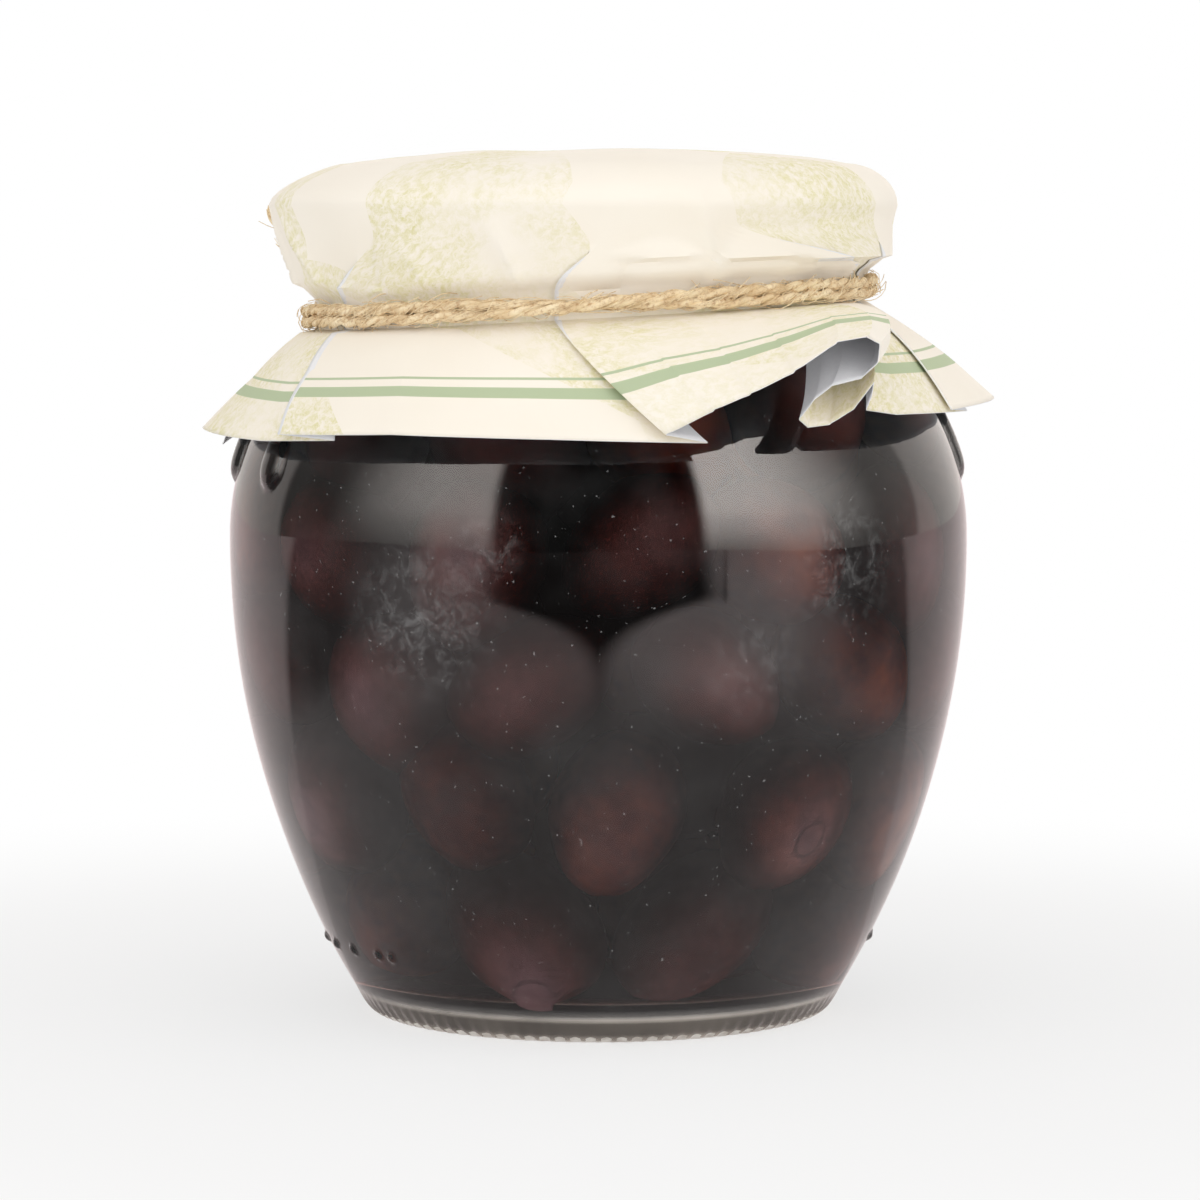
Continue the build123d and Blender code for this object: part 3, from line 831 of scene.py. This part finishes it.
def crown_rows(flat, waist, layer):
    """Rows of the crown, from its middle over the lid's edge and down to the twine."""
    rows = []
    along = []
    flat_part = LID_RADIUS + 0.3 * MM - CROWN_ROUND
    leftward = np.clip((1 - np.sin(np.radians(flat))) / 2, 0, 1)
    slack = SLACK * leftward**1.5 + LEAST_SLACK
    edge = LID_TOP + 0.5 * MM
    for share in np.linspace(0.03, 1, 22):
        rise = CROWN_RISE * (1 - share**4)
        rows.append(polar(flat_part * share, flat, edge + rise))
        along.append(flat_part * share)
    length = flat_part
    rounding = 9
    for step in range(1, rounding + 1):
        angle = math.radians(90 * step / rounding)
        radius = flat_part + CROWN_ROUND * math.sin(angle) + slack * math.sin(angle) ** 3
        rows.append(polar(radius, flat, edge - CROWN_ROUND * (1 - math.cos(angle))))
        length += CROWN_ROUND * math.pi / 2 / rounding
        along.append(length)
    side_top = edge - CROWN_ROUND
    side_steps = 20
    turn = wrapped(waist - flat)
    tilt = WAIST_RADIUS * np.sin(np.radians(waist)) * math.tan(WAIST_TILT)
    waist_top = WAIST_HEIGHT + tilt + WAIST_HALF
    for step in range(1, side_steps + 1):
        share = step / side_steps
        gather = smoothstep(0.25, 1.0, share)
        height = side_top + (waist_top - side_top) * share
        crown = LID_RADIUS + 0.3 * MM + slack
        near = WAIST_RADIUS + 1.3 * MM
        radius = crown + (near - crown) * share
        radius = radius + (WAIST_RADIUS - near) * smoothstep(0.8, 1.0, share)
        radius = radius - layer * LAYER_GAP * gather
        middle = np.array([-WAIST_SHIFT, 0, 0]) * share
        rows.append(polar(radius, flat + turn * gather, height) + middle)
        length += CROWN_SIDE / side_steps
        along.append(length)
    return rows, along, waist_top


def add_paper():
    """The printed sheet: crown over the lid, waist under the twine and pleated skirt."""
    columns = sheet_columns()
    waist, hem, flare, layer = columns.T
    lean = np.radians(smoothed(flare, 1))
    waist_radius = WAIST_RADIUS - layer * LAYER_GAP
    reach = SKIRT_LENGTH + 1.0 * MM * np.sin(np.radians(waist))
    # The hem's length gives each column its place on the flat sheet
    hem_line = polar(waist_radius + reach * np.sin(lean), hem, -reach * np.cos(lean))
    steps = np.linalg.norm(np.roll(hem_line, -1, axis=0) - hem_line, axis=1)
    flat = np.concatenate([[0], np.cumsum(steps)[:-1]]) * 360 / steps.sum()
    flat += np.degrees(np.angle(np.exp(1j * np.radians(waist - flat)).mean()))
    rows, along, waist_top = crown_rows(flat, waist, layer)
    middle = np.array([-WAIST_SHIFT, 0, 0])
    length = along[-1]
    for share in (0.25, 0.5, 0.75, 1.0):
        rows.append(polar(waist_radius, waist, waist_top - 2 * WAIST_HALF * share) + middle)
        length += 2 * WAIST_HALF / 4
        along.append(length)
    waist_foot = waist_top - 2 * WAIST_HALF
    for step in range(1, SKIRT_STEPS + 1):
        share = step / SKIRT_STEPS
        azimuth = waist + (hem - waist) * share
        inset = layer * LAYER_GAP * 0.8 * share
        sag = 0.9 * MM * math.sin(math.pi * share) * np.sin(lean)
        out, down = reach * share * np.sin(lean), reach * share * np.cos(lean)
        radius = waist_radius + out - inset * np.cos(lean) + sag * np.cos(lean)
        height = waist_foot - down - inset * np.sin(lean) + sag * np.sin(lean)
        glass = wall_radius(height) + SKIRT_CLEARANCE + WAIST_SHIFT + (2.5 - layer) * LAYER_GAP
        rows.append(polar(np.maximum(radius, glass), azimuth, height) + middle)
        along.append(SHEET_RADIUS - SKIRT_LENGTH * (1 - share))
    count = len(columns)
    points = np.concatenate(rows)
    # Small pleats and unevenness of the crown, and a soft wave in the skirt
    bearing = np.degrees(np.arctan2(points[:, 0], -points[:, 1]))
    outward = np.hypot(points[:, 0], points[:, 1])
    side = smoothstep(25 * MM, 34 * MM, outward) * (points[:, 2] > WAIST_HEIGHT + 2 * MM)
    push = creases(bearing, points[:, 2]) * side
    push += rumple(points, 0.6 * MM, 85, 1.0) * side
    skirt = smoothstep(WAIST_HEIGHT - 4 * MM, WAIST_HEIGHT - 12 * MM, points[:, 2])
    push += rumple(points, 0.35 * MM, 110, 3.0) * skirt
    points[:, :2] *= (1 + push / np.maximum(outward, 5 * MM))[:, None]
    # Above its foot the lid keeps the paper out
    outward = np.hypot(points[:, 0], points[:, 1])
    held = smoothstep(WAIST_HEIGHT + 3.5 * MM, LID_FOOT, points[:, 2])
    held = held * (points[:, 2] < LID_TOP - 3.5 * MM)
    above = (2.5 - np.tile(layer, len(rows))) * LAYER_GAP * 0.3
    least = (LID_RADIUS + 0.35 * MM + above) * held
    points[:, :2] *= np.maximum(1, least / np.maximum(outward, 5 * MM))[:, None]
    top = smoothstep(36 * MM, 28 * MM, outward)
    points[:, 2] += rumple(points, 0.5 * MM, 60, 2.0) * top
    faces = grid_faces(len(rows), count)
    faces.append(tuple(range(count))[::-1])
    faces = [face[::-1] for face in faces]
    printed, underside = paper_materials()
    paper = new_piece("paper_cover_sheet", points, faces, [printed, underside], 40)
    spread = paper.data.uv_layers.new(name="flat")
    radii = np.repeat(along, count)
    angles = np.tile(np.radians(flat), len(rows))
    loops = np.empty(len(paper.data.loops), dtype=int)
    paper.data.loops.foreach_get("vertex_index", loops)
    uv = np.stack([radii * np.sin(angles), -radii * np.cos(angles)], -1)[loops]
    uv = uv / (2 * SHEET_RADIUS) + 0.5
    spread.data.foreach_set("uv", uv.ravel())
    thick = paper.modifiers.new("thickness", "SOLIDIFY")
    thick.thickness = PAPER
    thick.offset = -1.0
    thick.material_offset = 1
    thick.material_offset_rim = 1
    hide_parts("paper_cover")


def paper_materials():
    """The printed outside, in soft fields with a green double border, and the bare inside."""
    printed, nodes, shader = principled_material("printed_paper", Roughness=0.75)
    spread = nodes.add("ShaderNodeUVMap", {"uv_map": "flat"}).outputs[0]
    middle = (0.5, 0.5, 0)
    centred = nodes.add("ShaderNodeVectorMath", {"operation": "SUBTRACT"}, i0=spread, i1=middle)
    metres = nodes.add("ShaderNodeVectorMath", {"operation": "SCALE"}, i0=centred)
    metres.inputs["Scale"].default_value = 2 * SHEET_RADIUS
    flat = metres.outputs[0]
    away = nodes.add("ShaderNodeVectorMath", {"operation": "LENGTH"}, i0=flat)
    radius = away.outputs["Value"]
    # Fields: large soft patches with straight sides, filled with fine chalky strokes
    patch = nodes.add("ShaderNodeTexVoronoi", Vector=flat, Scale=34.0, Randomness=1.0)
    cell = nodes.add("ShaderNodeSeparateColor", i0=patch.outputs["Color"]).outputs[0]
    wash = nodes.noise(45.0, 3.0, 0.6, flat)
    chalk = nodes.noise(900.0, 6.0, 0.75, flat, 0.6)
    grain = nodes.noise(2600.0, 3.0, 0.7, flat)
    field = nodes.math("MULTIPLY", nodes.ramp(cell, 0.36, 0.42), nodes.ramp(wash, 0.30, 0.60))
    fine = nodes.ramp(grain, 0.3, 0.7, 0.55, 1.0)
    stroke = nodes.math("MULTIPLY", nodes.ramp(chalk, 0.36, 0.66), fine)
    tint = nodes.math("MULTIPLY", field, stroke)
    cloud = nodes.noise(60.0, 2.0, 0.5, flat)
    ground = nodes.mix(cloud, srgb(246, 240, 229), srgb(241, 233, 219))
    patchy = nodes.noise(120.0, 2.0, 0.5, flat)
    ink = nodes.mix(patchy, srgb(208, 202, 132), srgb(222, 215, 160))
    colour = nodes.mix(tint, ground, ink)
    # The double border, by distance from the middle of the flat sheet
    thick = band(nodes, radius, 76.3 * MM, 78.2 * MM)
    thin = band(nodes, radius, 74.45 * MM, 74.9 * MM)
    border = nodes.math("MAXIMUM", thick, thin)
    colour = nodes.mix(border, colour, srgb(179, 192, 158))
    nodes.put(shader, "Base Color", colour)
    bump = nodes.add("ShaderNodeBump", Strength=0.15, Distance=0.0001)
    nodes.put(bump, "Height", grain)
    nodes.put(shader, "Normal", bump)
    inside, nodes, shader = principled_material("paper_underside", Roughness=0.85)
    fibre = nodes.noise(1800.0, 4.0, 0.6, nodes.place())
    nodes.put(shader, "Base Color", nodes.mix(fibre, srgb(240, 240, 241), srgb(228, 228, 231)))
    return printed, inside


# ---------------------------------------------------------------- twine

STRAND = 0.76 * MM  # half the twine's thickness
PLY = 0.46 * MM  # half the thickness of one of its two plies
TWIST = 7.5 * MM  # length of one turn of the plies
TWINE_RADIUS = 38.25 * MM
TWINE_SEED = 5
TURN_FIBRES = 520
TAIL_FIBRES = 24
KNOT_AZIMUTH = -126.0
KNOT_OUT = 1.2 * MM
# The tails, as distance from the waist's axis in mm, degrees and mm of height from the knot
TAIL_UP = ((40.2, 1, 1), (43.0, 8, 6), (44.4, 17, 11), (44.9, 25, 15))
TAIL_DOWN = ((40.2, -1, -1), (42.0, -2, -3), (44.4, -4, -5), (46.6, -6, -6.4))
# How high the twine runs, in mm from the waist's middle, by the share of its two turns
LEVELS_AT = (0, 0.14, 0.21, 0.5, 0.64, 0.71, 1)
LEVELS = (-0.7, -0.7, 0.65, 0.7, 0.7, -0.7, -0.7)


def around_waist(distance, azimuth, height):
    """A point at a distance from the waist's axis, over the waist's tilted middle."""
    point = polar(distance, azimuth, height)
    point[..., 2] = point[..., 0] * math.tan(WAIST_TILT) + WAIST_HEIGHT + height
    point[..., 0] -= WAIST_SHIFT
    return point


def twine_turns():
    """The two turns of the twine, which change places near the front."""
    azimuth = np.linspace(KNOT_AZIMUTH, KNOT_AZIMUTH + 720, 2200)
    share = (azimuth - KNOT_AZIMUTH) / 720
    side = np.interp(share, LEVELS_AT, LEVELS) * MM
    over = 0.55 * MM * np.exp(-(((share - 0.175) / 0.025) ** 2))
    angle = np.radians(azimuth)
    wander = 0.10 * MM * np.sin(angle * 9) + 0.06 * MM * np.sin(angle * 23)
    return around_waist(TWINE_RADIUS + over, azimuth, side + wander)


def smooth_path(points, count):
    """A smooth line through a few points."""
    points = np.asarray(points, dtype=float)
    before, after = 2 * points[0] - points[1], 2 * points[-1] - points[-2]
    padded = np.concatenate([[before], points, [after]])
    line = []
    for k in range(len(points) - 1):
        p0, p1, p2, p3 = padded[k : k + 4]
        for t in np.linspace(0, 1, count, endpoint=k == len(points) - 2):
            square = 2 * p0 - 5 * p1 + 4 * p2 - p3
            cube = 3 * p1 - p0 - 3 * p2 + p3
            line.append(0.5 * (2 * p1 + (p2 - p0) * t + square * t**2 + cube * t**3))
    return np.array(line)


def frame_along(path):
    """Tangent, side and rise of a path at each point."""
    tangent = np.gradient(path, axis=0)
    tangent /= np.linalg.norm(tangent, axis=1, keepdims=True)
    side = np.cross(tangent, [0.02, 0.01, 1.0])
    side /= np.linalg.norm(side, axis=1, keepdims=True)
    return tangent, side, np.cross(side, tangent)


def tube(path, radius, sides):
    """Rings of points along a path, with the faces between them."""
    _, side, rise = frame_along(path)
    angle = np.linspace(0, 2 * math.pi, sides, endpoint=False)
    across, up = np.cos(angle)[None, :, None], np.sin(angle)[None, :, None]
    ring = across * side[:, None] + up * rise[:, None]
    radius = np.broadcast_to(np.asarray(radius), (len(path),))
    points = path[:, None] + ring * radius[:, None, None]
    return points.reshape(-1, 3), closed_faces(len(path), sides)


def run_along(path):
    """Length of a path up to each of its points."""
    return np.concatenate([[0], np.cumsum(np.linalg.norm(np.diff(path, axis=0), axis=1))])


class Strands:
    """Many tubes gathered into one mesh."""

    def __init__(self):
        self.points = []
        self.faces = []

    def add(self, path, radius, sides):
        points, faces = tube(path, radius, sides)
        start = len(self.points)
        self.points.extend(points)
        self.faces.extend(tuple(start + v for v in face) for face in faces)

    def add_plies(self, path, phase=0.0, end_taper=False):
        """Two plies twisted round a path."""
        run = run_along(path)
        _, side, rise = frame_along(path)
        taper = np.ones(len(run))
        if end_taper:
            taper = smoothstep(run[-1], run[-1] - 1.5 * MM, run)
        for ply in (0, 1):
            angle = (run / TWIST * 2 + ply) * math.pi + phase
            out = np.cos(angle)[:, None] * side + np.sin(angle)[:, None] * rise
            centre = path + (STRAND - PLY) * out
            swell = 1 + 0.06 * np.sin(run / (3.1 * MM)) + 0.05 * np.sin(run / (1.3 * MM) + ply)
            self.add(centre, PLY * swell * (0.35 + 0.65 * taper), 10)


def add_fibres(strands, path, count, draw):
    """Fibres that lie along the twine, lift off it here and there and end loose."""
    run = run_along(path)
    _, side, rise = frame_along(path)
    for _ in range(count):
        length = draw.uniform(4, 16) * MM
        start = draw.uniform(0, run[-1] - length)
        first, last = np.searchsorted(run, start), np.searchsorted(run, start + length) - 1
        index = np.linspace(first, last, 14).astype(int)
        share = np.linspace(0, 1, 14)
        phase = draw.uniform(0, 2 * math.pi)
        turn = phase + (run[index] - start) / TWIST * 2 * math.pi * draw.uniform(0.2, 1.0)
        lift = STRAND * draw.uniform(0.92, 1.04)
        end_lift = draw.uniform(0, 1.0) ** 3 * 1.6 * MM * share**3
        start_lift = draw.uniform(0, 1) ** 4 * 1.2 * MM * (1 - share) ** 3
        reach = lift + (end_lift + start_lift)
        reach = reach + 0.06 * MM * np.sin(share * draw.uniform(5, 12))
        out = np.cos(turn)[:, None] * side[index] + np.sin(turn)[:, None] * rise[index]
        line = path[index] + reach[:, None] * out
        strands.add(line, draw.uniform(0.035, 0.075) * MM, 4)


def add_twine():
    """Two turns of twine, its knot and two tails, with loose fibres."""
    draw = random.Random(TWINE_SEED)
    turns = twine_turns()
    knot = around_waist(TWINE_RADIUS + KNOT_OUT, KNOT_AZIMUTH, 0.0)
    tails = []
    for tail in (TAIL_UP, TAIL_DOWN):
        points = [around_waist(r * MM, KNOT_AZIMUTH + a, h * MM) for r, a, h in tail]
        tails.append(smooth_path(points, 24))
    strands = Strands()
    strands.add_plies(turns)
    for tail in tails:
        strands.add_plies(tail, 1.0, True)
    # The knot: one turn of twine laid over both strands
    angle = np.linspace(0, 2.6 * math.pi, 90)
    out = polar(1.0, KNOT_AZIMUTH, 0.0)
    over = np.array([0, 0, 1.0])
    along = np.cross(over, out)
    loop = knot - 0.6 * MM * out + 1.9 * MM * (np.sin(angle)[:, None] * over)
    loop = loop + 1.2 * MM * np.cos(angle)[:, None] * out
    loop = loop + 1.1 * MM * (angle / math.pi - 1.3)[:, None] * along
    strands.add_plies(loop, 0.5)
    add_fibres(strands, turns, TURN_FIBRES, draw)
    for tail in tails:
        add_fibres(strands, tail, TAIL_FIBRES, draw)
    material = jute_material()
    twine = new_piece("jute_twine", strands.points, strands.faces, [material])
    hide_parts("twine")


def jute_material():
    """Straw yellow in streaks, with brown between the fibres in a fine noise pattern: painted shade
    of the crevices.
    """
    material, nodes, shader = principled_material("jute", Roughness=0.85)
    place = nodes.place()
    fibre = nodes.noise(1700.0, 5.0, 0.7, place)
    tone = nodes.noise(260.0, 3.0, 0.6, place)
    straw = nodes.mix(nodes.ramp(tone, 0.3, 0.7), srgb(250, 234, 200), srgb(228, 203, 162))
    # Painted shade: a fine noise lays brown where the crevices between the fibres would be shaded
    worn = nodes.ramp(fibre, 0.28, 0.55)
    nodes.put(shader, "Base Color", nodes.mix(worn, srgb(194, 158, 116), straw))
    bump = nodes.add("ShaderNodeBump", Strength=0.5, Distance=0.0002)
    nodes.put(bump, "Height", fibre)
    nodes.put(shader, "Normal", bump)
    return material


# ---------------------------------------------------------------- the whole


add_camera()
add_world()
add_floor()
add_glass(*glass_materials())
add_brine()
add_olives()
add_core()
finish_lid()
add_paper()
add_twine()

scene = bpy.context.scene
scene.view_settings.view_transform = "Standard"
scene.cycles.max_bounces = 12
scene.cycles.transmission_bounces = 10
scene.cycles.caustics_refractive = True
scene.cycles.blur_glossy = 0.3
